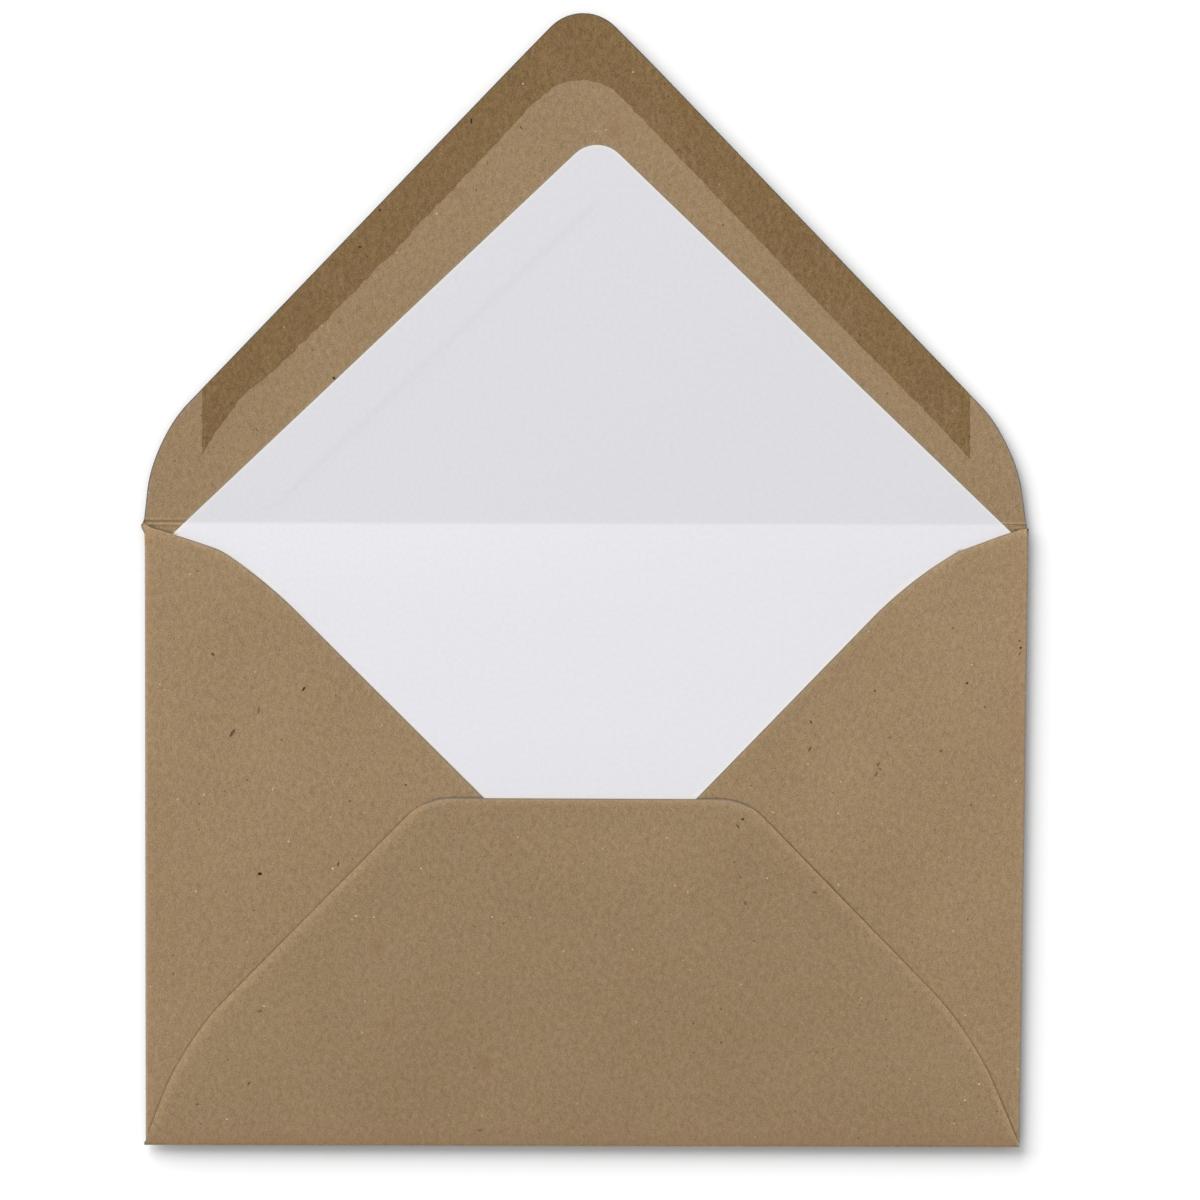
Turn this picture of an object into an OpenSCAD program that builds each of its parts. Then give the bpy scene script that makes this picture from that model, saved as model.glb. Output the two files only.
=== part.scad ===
// Lined paper envelope with a pointed seal flap, open, lying on its address face.
// One kraft blank is folded round a loose pocket. A white liner is pasted to the seal flap.
// Millimetres. The origin is the middle of the address face, +Y runs up the open flap and +Z up.

/* [Body] */
// Width over the two side folds, at half height
body_w = 176; // [150:1:230]
// Height from the bottom fold to the crease of the seal flap
body_h = 125; // [110:1:165]
// Free height of the empty pocket between the liner and the side flaps
pocket_gap = 0.5; // [0.2:0.1:3]

/* [Paper] */
// Thickness of the kraft paper
paper_t = 0.17; // [0.1:0.01:0.35]
// Thickness of the white liner paper
liner_t = 0.09; // [0.05:0.01:0.2]
// Thickness of a dried gum film
gum_t = 0.04; // [0.02:0.01:0.1]

/* [Seal flap] */
// Height of the flap's point above the crease, before its rounding
flap_point_h = 106; // [90:0.1:125]
// Radius of the flap's tip
flap_tip_r = 9; // [3:0.5:20]
// How far the flap's base reaches past each side fold
flap_overhang = 0.5; // [0:0.1:2]
// Height of the shoulder corner, where the side of the flap turns into its slant
shoulder_h = 16.4; // [8:0.1:30]
// How far the shoulder corner lies inside the flap's base
shoulder_inset = 2.3; // [0:0.1:8]
// Radius of the shoulder
shoulder_r = 34; // [5:1:60]
// Angle by which the open flap stands up from the crease
flap_rise = 1.5; // [1:0.5:12]

/* [Side flaps] */
// Gap between the crease and the start of each side flap
side_top_gap = 1.1; // [0.8:0.1:4]
// Width of each side flap's sloping top edge
side_top_w = 14.3; // [8:0.1:30]
// Drop of the corner at the end of that edge, below the crease
side_top_drop = 5.8; // [2:0.1:12]
// Radius of that corner
side_top_r = 3; // [1:0.5:20]
// How much further in the cheek of the side flap lies, where its edge turns into the slant
side_cheek_run = 9.8; // [4:0.1:14]
// How much further down the cheek lies
side_cheek_fall = 6.4; // [2:0.1:12]
// Radius of the cheek
side_cheek_r = 73; // [10:1:100]
// Gap between the points of the two side flaps
side_tip_gap = 32.6; // [16:0.2:44]
// Depth at which those points lie under the lip of the bottom flap
side_tip_cover = 5; // [2:0.5:12]
// Radius of those points
side_tip_r = 4; // [1:0.5:8]
// Width of each side flap's foot, next to the bottom fold
foot_w = 12; // [6:0.5:20]
// Height of the foot's inner corner above the bottom fold
foot_rise = 3; // [2:0.5:8]
// Radius of the foot's inner corner
foot_r = 3; // [1:0.5:6]
// Relief cut where two folds come together at a corner
corner_relief = 0.3; // [0.3:0.05:0.7]

/* [Bottom flap] */
// Height of the lip above the bottom fold
lip_h = 69.7; // [60:0.1:78]
// Length of the lip, before its corners are rounded
lip_w = 64; // [50:0.5:90]
// Radius of the lip's corners
lip_r = 11; // [3:0.5:20]
// Height of the hip corner, where the flap's side turns into its slant
hip_h = 23.7; // [12:0.1:35]
// How far the hip corner lies inside the side fold
hip_inset = 10.6; // [4:0.1:20]
// Radius of the hip
hip_r = 55; // [10:1:80]

/* [Gum bands] */
// Width of the gum band along the slants of the seal flap
seal_gum_w = 8.4; // [4:0.2:12]
// Radius of the band's inner edge at the tip
seal_gum_r = 11.5; // [3:0.5:20]
// How far each end of the band is cut off inside the flap's base
seal_gum_end = 11.2; // [6:0.2:25]
// Width of the gum seam under each slant of the bottom flap
seam_gum_w = 10; // [5:0.5:13]
// Bare margin between the seam and the edge of the bottom flap
seam_gum_margin = 1.5; // [0.5:0.1:4]
// Bare length at both ends of the seam
seam_gum_stop = 6; // [3:0.5:15]
// Width of the gum strip under each slant of the liner
liner_gum_w = 10; // [5:0.5:20]
// Bare margin between that strip and the edge of the liner
liner_gum_margin = 1; // [0.5:0.1:4]
// Height above the crease at which that strip ends
liner_gum_stop = 4; // [1:0.5:15]

/* [Liner] */
// Distance from the flap's point down to the liner's point
liner_tip_margin = 28; // [24:0.5:45]
// Radius of the liner's tip
liner_tip_r = 5.3; // [1:0.1:20]
// Room between the liner's sides and the flat of the side folds
liner_side_gap = 2.7; // [2.5:0.1:8]
// Depth below the crease at which the liner reaches its full width
liner_drop = 2.9; // [1:0.1:8]
// Distance from the bottom fold up to the liner's lower edge
liner_bottom_gap = 12; // [5:0.5:50]

/* [As made] */
// Lean of the left side fold, inwards towards the bottom
left_fold_lean = 0.24; // [0:0.02:1]
// Lean of the right side fold, inwards towards the bottom
right_fold_lean = 0.7; // [0:0.02:1]
// Sideways offset of the seal flap
flap_shift = -0.35; // [-1:0.05:1]
// How far the left corner of the bottom flap stands out past the side fold
left_corner_out = 0.5; // [0:0.1:1]
// Sideways offset of the side flaps' points
throat_shift = 1.3; // [-2:0.05:2]
// Sideways offset of the liner
liner_shift = 1.8; // [-2:0.1:2.2]

/* [Hidden] */

kraft_colour = [0.62, 0.53, 0.41];
liner_colour = [0.91, 0.92, 0.94];
gum_colour = [0.52, 0.43, 0.30];
paste_colour = [0.86, 0.83, 0.74];

// Strip of the front panel that each fold carries with it, so that panel and fold overlap
lap = 0.2;
// Largest turn between two points of a rounded corner, in degrees
arc_step = 3;
$fn = 96;

crease_y = body_h/2;
bottom_y = -body_h/2;
lip_y = bottom_y + lip_h;

// Heights in the stack of layers
liner_z = paper_t + gum_t;
side_z = liner_z + liner_t + pocket_gap;
seam_z = side_z + paper_t;
lip_z = seam_z + gum_t;
stack_t = lip_z + paper_t;

// Outer radii of the folds
side_fold_r = seam_z/2;
bottom_fold_r = stack_t/2;

flap_half = body_w/2 + flap_overhang;
shoulder = [flap_half - shoulder_inset, shoulder_h];
flap_slant = atan(shoulder.x/(flap_point_h - shoulder.y));
flap_room = flap_point_h + lip_h;

liner_half = body_w/2 - side_fold_r - liner_side_gap;
liner_point = flap_point_h - liner_tip_margin;
liner_slant = atan(liner_half/(liner_point + liner_drop));
liner_foot = liner_bottom_gap - body_h;

hip = [body_w/2 - hip_inset, bottom_y + hip_h];
lip_corner = [lip_w/2, lip_y];

// Outer face of a side fold at the height y, from the middle of the body
function fold_x(y, lean) = body_w/2 + y*tan(lean);

function unit(v) = v/norm(v);

// A closed outline whose corners [x, y, radius] are rounded
function rounded(corners) = let (n = len(corners)) [
    for (i = [0:n - 1]) each rounded_corner(corners[(i + n - 1)%n], corners[i], corners[(i + 1)%n])
];

// Share of a side that one corner's arc may take, so that two arcs never meet
function share(neighbour) = neighbour[2] == 0 ? 0.95 : 0.48;

// The arc that rounds one corner, held to the length of its sides
function rounded_corner(before, corner, after) =
    let (
        p = [corner.x, corner.y],
        to_before = [before.x, before.y] - p,
        to_after = [after.x, after.y] - p,
        u = unit(to_before),
        v = unit(to_after),
        half = acos(u*v)/2,
        room = min(share(before)*norm(to_before), share(after)*norm(to_after)),
        reach = min(corner[2]/tan(half), room),
        r = reach*tan(half),
        centre = p + unit(u + v)*r/sin(half),
        start = p + u*reach - centre,
        turn = sign(cross(v, u))*(180 - 2*half),
        steps = ceil(abs(turn)/arc_step)
    )
    corner[2] == 0 ? [p] : [
        for (k = [0:steps])
            let (a = atan2(start.y, start.x) + turn*k/steps)
            centre + r*[cos(a), sin(a)]
    ];

// Points measured along the paper from the crease, as they lie in plan
function laid(points, shift) = [
    for (p = points) [p.x + shift, crease_y + (p.y > 0 ? p.y*cos(flap_rise) : p.y)]
];

// Where the surface at the depth d above the underside turns up at the crease
function crease_at(d) = crease_y - d*tan(flap_rise/2);

// A point of the seal flap, seen from the side
function on_flap(along, d) = [
    crease_y + along*cos(flap_rise) - d*sin(flap_rise),
    along*sin(flap_rise) + d*cos(flap_rise)
];

// Side view of a layer that runs over the front panel and up the seal flap
function layer_section(low, high) = [
    [2*bottom_y, low],
    [crease_at(low), low],
    on_flap(flap_room, low),
    on_flap(flap_room, high),
    [crease_at(high), high],
    [2*bottom_y, high]
];

// A layer of the flat stack, cut to the plan outline given as its child
module layer(low, high) {
    intersection() {
        rotate([90, 0, 90])
            linear_extrude(height = 2*body_w, center = true)
                polygon(layer_section(low, high));
        translate([0, 0, -paper_t])
            linear_extrude(height = flap_room)
                children();
    }
}

// Section of a flat fold: a strip of panel, the half turn, and a flap of the given reach above it
module fold_section(fold_r, reach) {
    translate([-fold_r - lap, 0])
        square([lap, paper_t]);
    translate([-fold_r - reach, 2*fold_r - paper_t])
        square([reach, paper_t]);
    translate([-fold_r, fold_r])
        intersection() {
            difference() {
                circle(fold_r);
                circle(fold_r - paper_t);
            }
            translate([0, -fold_r])
                square([fold_r, 2*fold_r]);
        }
}

// Seal flap's outline, measured along the paper from the crease
function flap_edge(base) = rounded([
    [flap_half, base, 0],
    [flap_half, 0, 0],
    [shoulder.x, shoulder.y, shoulder_r],
    [0, flap_point_h, flap_tip_r],
    [-shoulder.x, shoulder.y, shoulder_r],
    [-flap_half, 0, 0],
    [-flap_half, base, 0]
]);

// Front panel and seal flap in plan, up to the folds on the other three sides
module sheet_outline() {
    ear_y = crease_y - side_top_gap + corner_relief;
    foot_y = bottom_y + bottom_fold_r + lap/2;
    inset = side_fold_r + lap/2;
    polygon(concat(
        laid(flap_edge(ear_y - crease_y), flap_shift),
        [
            [inset - fold_x(ear_y, left_fold_lean), ear_y],
            [inset - fold_x(foot_y, left_fold_lean), foot_y],
            [fold_x(foot_y, right_fold_lean) - inset, foot_y],
            [fold_x(ear_y, right_fold_lean) - inset, ear_y]
        ]
    ));
}

// Side flap in plan, drawn on the right, with its point moved out by shift
module side_flap_outline(shift) {
    top_y = crease_y - side_top_gap;
    foot_y = bottom_y + bottom_fold_r + corner_relief;
    outside = body_w/2 + side_top_w;
    corner = [body_w/2 - side_top_w, crease_y - side_top_drop];
    polygon(rounded([
        [outside, top_y, 0],
        [body_w/2, top_y, 0],
        [corner.x, corner.y, side_top_r],
        [corner.x - side_cheek_run, corner.y - side_cheek_fall, side_cheek_r],
        [side_tip_gap/2 + shift, lip_y - side_tip_cover, side_tip_r],
        [body_w/2 - foot_w, bottom_y + foot_rise, foot_r],
        [body_w/2, foot_y, 0],
        [outside, foot_y, 0]
    ]));
}

// Side flap with its fold, drawn on the right
module side_flap(lean, shift) {
    intersection() {
        translate([body_w/2, 0, 0])
            rotate([90, 0, -lean])
                linear_extrude(height = 2*body_h, center = true)
                    fold_section(side_fold_r, body_w/2);
        translate([0, 0, -paper_t])
            linear_extrude(height = 2*stack_t)
                side_flap_outline(shift);
    }
}

// Bottom flap in plan
module bottom_flap_outline() {
    left_x = -fold_x(bottom_y, left_fold_lean) - left_corner_out;
    right_x = fold_x(bottom_y, right_fold_lean);
    polygon(rounded([
        [right_x, bottom_y - bottom_fold_r, 0],
        [right_x, bottom_y, 0],
        [hip.x, hip.y, hip_r],
        [lip_corner.x, lip_corner.y, lip_r],
        [-lip_corner.x, lip_corner.y, lip_r],
        [-hip.x, hip.y, hip_r],
        [left_x, bottom_y, 0],
        [left_x, bottom_y - bottom_fold_r, 0]
    ]));
}

// Bottom flap with its fold
module bottom_flap() {
    intersection() {
        translate([0, bottom_y, 0])
            rotate([90, 0, -90])
                linear_extrude(height = 2*body_w, center = true)
                    fold_section(bottom_fold_r, body_h);
        translate([0, 0, -paper_t])
            linear_extrude(height = 2*stack_t)
                bottom_flap_outline();
    }
}

// Kraft blank: front panel, seal flap, two side flaps and bottom flap in one folded sheet
module envelope_blank() {
    color(kraft_colour) {
        layer(0, paper_t)
            sheet_outline();
        side_flap(right_fold_lean, throat_shift);
        mirror([1, 0, 0])
            side_flap(left_fold_lean, -throat_shift);
        bottom_flap();
    }
}

// White liner, loose in the pocket and pasted to the seal flap
module liner() {
    color(liner_colour)
        layer(liner_z, liner_z + liner_t)
            polygon(laid(rounded([
                [liner_half, liner_foot, 0],
                [liner_half, -liner_drop, 0],
                [0, liner_point, liner_tip_r],
                [-liner_half, -liner_drop, 0],
                [-liner_half, liner_foot, 0]
            ]), liner_shift));
}

// Dried gum band round the slants and the tip of the seal flap
module seal_gum() {
    inner_point = flap_point_h - seal_gum_w/sin(flap_slant);
    run = 2*inner_point;
    half_span = flap_half - seal_gum_end;
    color(gum_colour)
        layer(paper_t, liner_z)
            difference() {
                intersection() {
                    polygon(laid(flap_edge(0), flap_shift));
                    translate([-half_span, crease_y])
                        square([2*half_span, flap_point_h]);
                }
                polygon(laid(rounded([
                    [run*tan(flap_slant), inner_point - run, 0],
                    [0, inner_point, seal_gum_r],
                    [-run*tan(flap_slant), inner_point - run, 0]
                ]), flap_shift));
            }
}

// Gum strip between the liner and the seal flap, along the liner's slants
module liner_gum() {
    outer_point = liner_point - liner_gum_margin/sin(liner_slant);
    inner_point = outer_point - liner_gum_w/sin(liner_slant);
    run = outer_point - liner_gum_stop;
    spread = tan(liner_slant);
    color(paste_colour)
        layer(paper_t, liner_z)
            polygon(laid(concat(
                [[run*spread, liner_gum_stop], [0, outer_point], [-run*spread, liner_gum_stop]],
                [
                    [-(inner_point - liner_gum_stop)*spread, liner_gum_stop],
                    [0, inner_point],
                    [(inner_point - liner_gum_stop)*spread, liner_gum_stop]
                ]
            ), liner_shift));
}

// Gum seam in plan under the right slant of the bottom flap, where it laps the side flap
module seam_gum_outline(shift) {
    along = unit(lip_corner - hip);
    inward = [-along.y, along.x];
    start = hip + along*seam_gum_stop;
    end = lip_corner - along*seam_gum_stop;
    near = inward*seam_gum_margin;
    far = inward*(seam_gum_margin + seam_gum_w);
    intersection() {
        polygon([start + near, end + near, end + far, start + far]);
        side_flap_outline(shift);
    }
}

// Gum seam between a side flap and the bottom flap, drawn on the right
module seam_gum(shift) {
    color(paste_colour)
        translate([0, 0, seam_z])
            linear_extrude(height = gum_t)
                seam_gum_outline(shift);
}

// Gum seam on the left side flap
module seam_gum_left() {
    mirror([1, 0, 0])
        seam_gum(-throat_shift);
}

// Gum seam on the right side flap
module seam_gum_right() {
    seam_gum(throat_shift);
}

envelope_blank();
liner();
seal_gum();
seam_gum_left();
seam_gum_right();
liner_gum();
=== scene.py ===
from math import atan2, cos, exp, hypot, pi, radians, sin, sqrt, tan

import bmesh
import bpy
from mathutils import Matrix, Vector, noise
from mathutils.bvhtree import BVHTree
from mathutils.kdtree import KDTree


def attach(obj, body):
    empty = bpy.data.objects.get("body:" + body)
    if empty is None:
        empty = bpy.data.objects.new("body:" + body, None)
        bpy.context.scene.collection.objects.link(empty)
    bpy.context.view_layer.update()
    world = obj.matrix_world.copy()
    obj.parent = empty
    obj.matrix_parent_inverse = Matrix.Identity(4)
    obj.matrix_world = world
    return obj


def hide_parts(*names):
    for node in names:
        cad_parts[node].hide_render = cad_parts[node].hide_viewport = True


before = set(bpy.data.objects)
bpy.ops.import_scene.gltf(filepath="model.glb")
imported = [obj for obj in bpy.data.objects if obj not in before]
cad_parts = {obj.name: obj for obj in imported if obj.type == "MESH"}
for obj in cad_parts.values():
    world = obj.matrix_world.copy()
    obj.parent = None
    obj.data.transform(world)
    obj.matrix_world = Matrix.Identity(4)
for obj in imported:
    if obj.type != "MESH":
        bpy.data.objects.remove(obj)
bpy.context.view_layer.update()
print("frame loaded:", ", ".join(sorted(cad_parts)))

# All modelling is in millimetres, in the frame's own axes, and is scaled to metres at the end.
mm = 0.001
up = Vector((0, 0, 1))


# Small helpers for meshes

def smooth(t):  # 0 below 0, 1 above 1, with a soft start and end
    t = min(max(t, 0.0), 1.0)
    return t*t*(3 - 2*t)


def hump(distance, width):  # 1 at a line, fading to 0 about two widths away
    return exp(-(distance/width)**2)


def flatSheet(corners):  # one flat face; each corner is (x, y, reach of its rounding)
    bm = bmesh.new()
    verts = [bm.verts.new((x, y, 0)) for x, y, reach in corners]
    bm.faces.new(verts)
    for vert, (x, y, reach) in zip(verts, corners):
        if reach:
            bmesh.ops.bevel(
                bm, geom=[vert], offset=reach, offset_type="OFFSET", affect="VERTICES",
                segments=max(3, int(reach*1.6)), profile=0.5, material=-1, clamp_overlap=False)
    bmesh.ops.connect_verts_concave(bm, faces=bm.faces[:])
    return bm


def scoreLine(bm, point, normal, inside=None):  # a cut across the faces that pass the test
    faces = [f for f in bm.faces if inside is None or inside(f.calc_center_median())]
    edges = {e for f in faces for e in f.edges}
    verts = {v for f in faces for v in f.verts}
    bmesh.ops.bisect_plane(
        bm, geom=faces + list(edges) + list(verts), dist=1e-4, plane_co=point, plane_no=normal)


def scoreGrid(bm, pitch, low, high):  # even cuts, so that a sheet can curl
    aside = 0.013  # keeps the cuts off corners that lie at round numbers
    for axis in (0, 1):
        normal = Vector((1 - axis, axis, 0))
        for k in range(int(low[axis]/pitch), int(high[axis]/pitch) + 1):
            scoreLine(bm, normal*(k*pitch + aside), normal)


def inwardNormal(a, b):  # square to the line from a to b, towards the middle of the envelope
    across = (b - a).cross(up).normalized()
    return across if across.x*(a.x + b.x) < 0 else -across


def alongEdge(edge, step=0.25):  # points along an edge, no further apart than the step
    a, b = (v.co for v in edge.verts)
    count = int((b - a).length/step) + 1
    return [a.lerp(b, k/count) for k in range(count + 1)]


def nearestOf(points):
    tree = KDTree(len(points))
    for k, point in enumerate(points):
        tree.insert(point, k)
    tree.balance()
    return tree


def finishSheet(bm, name, thickness, body="root"):  # solid paper with a crisp cut edge, in metres
    skin = set(bm.faces)
    bmesh.ops.solidify(bm, geom=bm.faces[:] + bm.edges[:] + bm.verts[:], thickness=thickness)
    for face in bm.faces:
        onCut = face not in skin and any(f in skin for e in face.edges for f in e.link_faces)
        face.material_index = 1 if onCut else 0
        face.smooth = not onCut
    for edge in bm.edges:
        edge.smooth = edge.calc_face_angle(0) < radians(35)
    bmesh.ops.scale(bm, vec=(mm, mm, mm), verts=bm.verts)
    mesh = bpy.data.meshes.new(name)
    bm.to_mesh(mesh)
    bm.free()
    piece = bpy.data.objects.new(name, mesh)
    bpy.context.scene.collection.objects.link(piece)
    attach(piece, body)
    print("made", name, "with", len(mesh.polygons), "faces")
    return piece


# Numbers that each point of a sheet carries for its material: painted light and shade, wear, painted
# light along the cut edge, greying along the cut edge, distance to a white sheet's edge, distance to the
# sheet's own edge and to the edge of a flap that is pasted on, where painted shadow falls beside it
sheetLayers = ("shade", "wear", "line", "fade", "white", "edge", "seam")
farAway = 9.0  # mm, past the reach of anything along an edge


def markSheet(bm):  # the sheet's own flat coordinates, in metres, and each point's distance from the edge
    layer = bm.loops.layers.uv.new("sheet")
    for name in sheetLayers:
        bm.verts.layers.float.new(name)
    for face in bm.faces:
        for loop in face.loops:
            loop[layer].uv = loop.vert.co.xy*mm
    tree = nearestOf([point for e in bm.edges if e.is_boundary for point in alongEdge(e)])
    edge = bm.verts.layers.float["edge"]
    for v in bm.verts:
        v[edge] = 0 if v.is_boundary else tree.find(v.co)[2]


def paint(bm, values):
    plain = {"shade": 1.0, "wear": 0.0, "line": 0.0, "fade": 0.0, "white": farAway, "seam": farAway}
    for name in plain:
        layer = bm.verts.layers.float[name]
        value = values.get(name)
        for v in bm.verts:
            v[layer] = value(v) if value else plain[name]


# Kraft blank: front panel, seal flap, side flaps and bottom flap in one folded sheet

blank = {
    "thickness": 0.17,
    "crease": 62.5,
    "bottom": -62.5,
    "lip": 7.2,
    "halfWidth": {1: 88.2, -1: 88.0},
    "lean": {1: radians(0.7), -1: radians(0.24)},  # right and left side folds
    "sideSpan": (-61.8, 61.52),  # lower and upper end of the side folds
    "sideRoot": 87.4,  # where the foot and the top of a side flap leave its fold
    "sideFold": 0.485,  # outer radii
    "bottomFold": 0.59,
    "foldSteps": 8,
    "arch": 0.35,  # the opened flap bows up this much between its crease and its tip
    "tipRise": 0.8,  # and its tip stays off the table
    "unevenness": 0.08,
    "flapLength": 106.0,
    "grid": 3.0,
    # corners as (x, y, reach of the rounding), seen on the folded envelope
    "sealTip": [(12.5, 155.26, 3), (-0.7, 168.45, 9.2), (-13.63, 155.19, 3)],
    "sideFlap": {
        1: [(76, -59.5, 2), (17.63, 2.2, 3), (63.86, 49.89, 8), (74.35, 56.67, 0.7), (84.6, 60.5, 3)],
        -1: [(-76, -59.5, 2), (-15.05, 2.2, 3), (-64, 50.67, 8), (-73.02, 56.8, 1.5), (-83, 60.15, 5)],
    },
    "bottomFlap": {
        1: [(32.3, 7.1, 4.7), (77.8, -39.5, 11), (87.32, -61.95, 0)],
        -1: [(-31.9, 7.2, 4.7), (-80.1, -41.7, 11), (-87.93, -61.95, 0)],
    },
}


def sideFold(side):  # where a side fold starts on the front panel
    lean = blank["lean"][side]
    outward = Vector((side*cos(lean), -sin(lean), 0))
    start = Vector((side*blank["halfWidth"][side], 0, 0)) - outward*blank["sideFold"]
    return {"start": start, "outward": outward, "radius": blank["sideFold"], "span": blank["sideSpan"]}


bottomFold = {"start": Vector((0, blank["bottom"] + blank["bottomFold"], 0)),
              "outward": Vector((0, -1, 0)), "radius": blank["bottomFold"], "span": None}
folds = {"right": sideFold(1), "left": sideFold(-1), "bottom": bottomFold}


def foldLength(fold):  # paper that one fold takes up, along its inner face
    return pi*(fold["radius"] - blank["thickness"])


def unfolded(fold, x, y, reach=0):  # a corner seen on the folded flap, laid back out flat
    point = Vector((x, y, 0))
    inward = (fold["start"] - point).dot(fold["outward"])
    flat = point + fold["outward"]*(2*inward + foldLength(fold))
    return (flat.x, flat.y, reach)


def onFoldStart(fold, y):  # x of the fold's start at the height y
    along = fold["outward"].cross(up)
    t = (y - fold["start"].y)/along.y
    return (fold["start"] + along*t).x


def beyond(fold, point):  # distance outward from the fold's start
    return (point - fold["start"]).dot(fold["outward"])


def inFlap(fold, point):
    if fold["span"] is None:
        return point.y < fold["start"].y + 1e-3
    low, high = fold["span"]
    return low < point.y < high and beyond(fold, point) > -1e-3


def sideCorners(side):  # one side flap's outline, from its foot round to its top
    fold = folds["right" if side > 0 else "left"]
    low, high = fold["span"]
    root = side*blank["sideRoot"]
    corners = [(onFoldStart(fold, low), low + 0.05, 0), unfolded(fold, root, low + 0.05)]
    corners += [unfolded(fold, *corner) for corner in blank["sideFlap"][side]]
    corners += [unfolded(fold, root, high - 0.2), (onFoldStart(fold, high), high - 0.04, 0)]
    return corners if side > 0 else corners[::-1]


def blankOutline():  # anticlockwise from the left end of the bottom fold
    low = blank["sideSpan"][0]
    seal = [
        (onFoldStart(folds["right"], 61.7), 61.62, 0),
        (88.6, 61.72, 0), (88.45, 62.6, 0), (86.2, 79.0, 9.8),
        *blank["sealTip"],
        (-86.65, 78.9, 9.8), (-88.45, 62.6, 0), (-88.35, 61.66, 0),
        (onFoldStart(folds["left"], 61.7), 61.62, 0),
    ]
    corners = blank["bottomFlap"][-1][::-1] + blank["bottomFlap"][1]
    bottom = [(-88.08, -61.88, 0)] + [unfolded(folds["bottom"], *corner) for corner in corners] + [
        (87.42, -61.88, 0), (onFoldStart(folds["right"], low), low - 0.05, 0)]
    return bottom + sideCorners(1) + seal + sideCorners(-1) + [
        (onFoldStart(folds["left"], low), low - 0.05, 0)]


def insideSide(side, x, y):  # distance inward from the outer line of a side fold
    return blank["halfWidth"][side] + tan(blank["lean"][side])*y - side*x


def lineGap(a, b, x, y):  # signed distance from the line through a and b, positive on its left
    run = hypot(b[0] - a[0], b[1] - a[1])
    return ((b[0] - a[0])*(y - a[1]) - (b[1] - a[1])*(x - a[0]))/run


def foldFlap(bm, fold):  # bends the flap up and over the panel, one score line at a time
    steps = blank["foldSteps"]
    length = foldLength(fold)
    axis = fold["outward"].cross(up)
    lines = []
    for k in range(steps + 1):
        offset = length*k/steps
        moved = [v for v in bm.verts if inFlap(fold, v.co) and beyond(fold, v.co) > offset + 1e-3]
        lines.append((fold["start"] + fold["outward"]*offset, moved))
    for k in reversed(range(steps + 1)):
        point, moved = lines[k]
        turn = pi/steps*(0.5 if k in (0, steps) else 1)
        bmesh.ops.rotate(bm, cent=point, matrix=Matrix.Rotation(turn, 3, axis), verts=moved)


crease = {
    "centre": 62.22,
    "groove": {"at": 62.36, "depth": 0.08, "width": 0.2},
    "lips": {"out": 0.5, "height": 0.075, "width": 0.24},
    "ridges": {"height": 0.13, "upper": (62.46, 0.2), "lower": (62.0, 0.18), "fall": 0.65},
}


def creaseRelief(x, y):  # on the left a pressed groove with low lips, on the right it has sprung up
    groove, lips, ridges = crease["groove"], crease["lips"], crease["ridges"]
    if x <= 0:
        raised = lips["height"]*hump(abs(y - groove["at"]) - lips["out"], lips["width"])
        return raised - groove["depth"]*hump(y - groove["at"], groove["width"])
    (upper, upperWidth), (lower, lowerWidth) = ridges["upper"], ridges["lower"]
    lower -= ridges["fall"]*smooth((x - 84.5)/4)
    return ridges["height"]*(hump(y - upper, upperWidth) + hump(y - lower, lowerWidth))


def sealFlapLift(x, y):  # the opened flap bows up a little, and a dry sheet is never quite even
    rise = y - blank["crease"]
    along = min(max(rise/blank["flapLength"], 0), 1)
    wave = blank["unevenness"]*noise.noise(Vector((x/60, y/50, 3.1)))
    return blank["arch"]*4*along*(1 - along) + blank["tipRise"]*along + smooth(rise/18)*wave


# Corners of the kraft edges that frame the throat, in the order that keeps the throat on their left
throat = {side: [corner[:2] for corner in blank["sideFlap"][side][1:]][::side] for side in (1, -1)}


def intoThroat(side, x, y):  # signed distance from one side of the throat, positive in the throat
    corners = throat[side]
    return max(lineGap(a, b, x, y) for a, b in zip(corners, corners[1:]))


sideRelief = {"droop": 0.3, "wave": 0.05}  # mm


def sideFlapLift(side, x, y):  # the throat edge of a side flap rests lower than its fold
    fromFold = 88 - abs(x)
    fromThroat = max(-intoThroat(side, x, y), 0)
    droop = -sideRelief["droop"]*smooth(fromFold/26)*(1 - smooth(fromThroat/30))
    wave = sideRelief["wave"]*noise.noise(Vector((x/45, y/45, side*5.0)))*smooth(fromFold/20)
    return smooth((y + 8)/22)*(droop + wave)


bottomRelief = {  # mm
    "press": 0.14, "pressWidth": 1.3, "lift": 0.32, "liftWidth": 5.0,
    "wave": 0.05, "bow": 0.12, "sag": 0.4, "lipCorner": 32.1,
}


def slantGap(x, y, fromEdge):  # distance of a point on the bottom flap from its slanted edges
    past = bottomRelief["lipCorner"] - abs(x) + blank["lip"] - y
    return fromEdge if y < 3 else max(past*sqrt(0.5), 0)


def bottomFlapLift(x, y, fromEdge):  # its slants are pressed down, and the right one has sprung up a little
    r = bottomRelief
    gap = slantGap(x, y, fromEdge)
    press = -r["press"]*hump(gap, r["pressWidth"])
    lift = r["lift"]*hump(y + 8, 12)*smooth(x/20)*hump(gap, r["liftWidth"])
    wave = r["wave"]*noise.noise(Vector((x/50, y/50, 12.5)))*smooth(gap/10)
    bow = r["bow"]*smooth(gap/25)
    sag = -r["sag"]*hump(blank["lip"] - y, 11)*(1 - smooth((abs(x) - 12)/22))
    return smooth((y + 60)/10)*(press + lift + wave + bow) + sag


# The left side fold ends in a small open loop that stands out and leans over the crease

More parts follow.
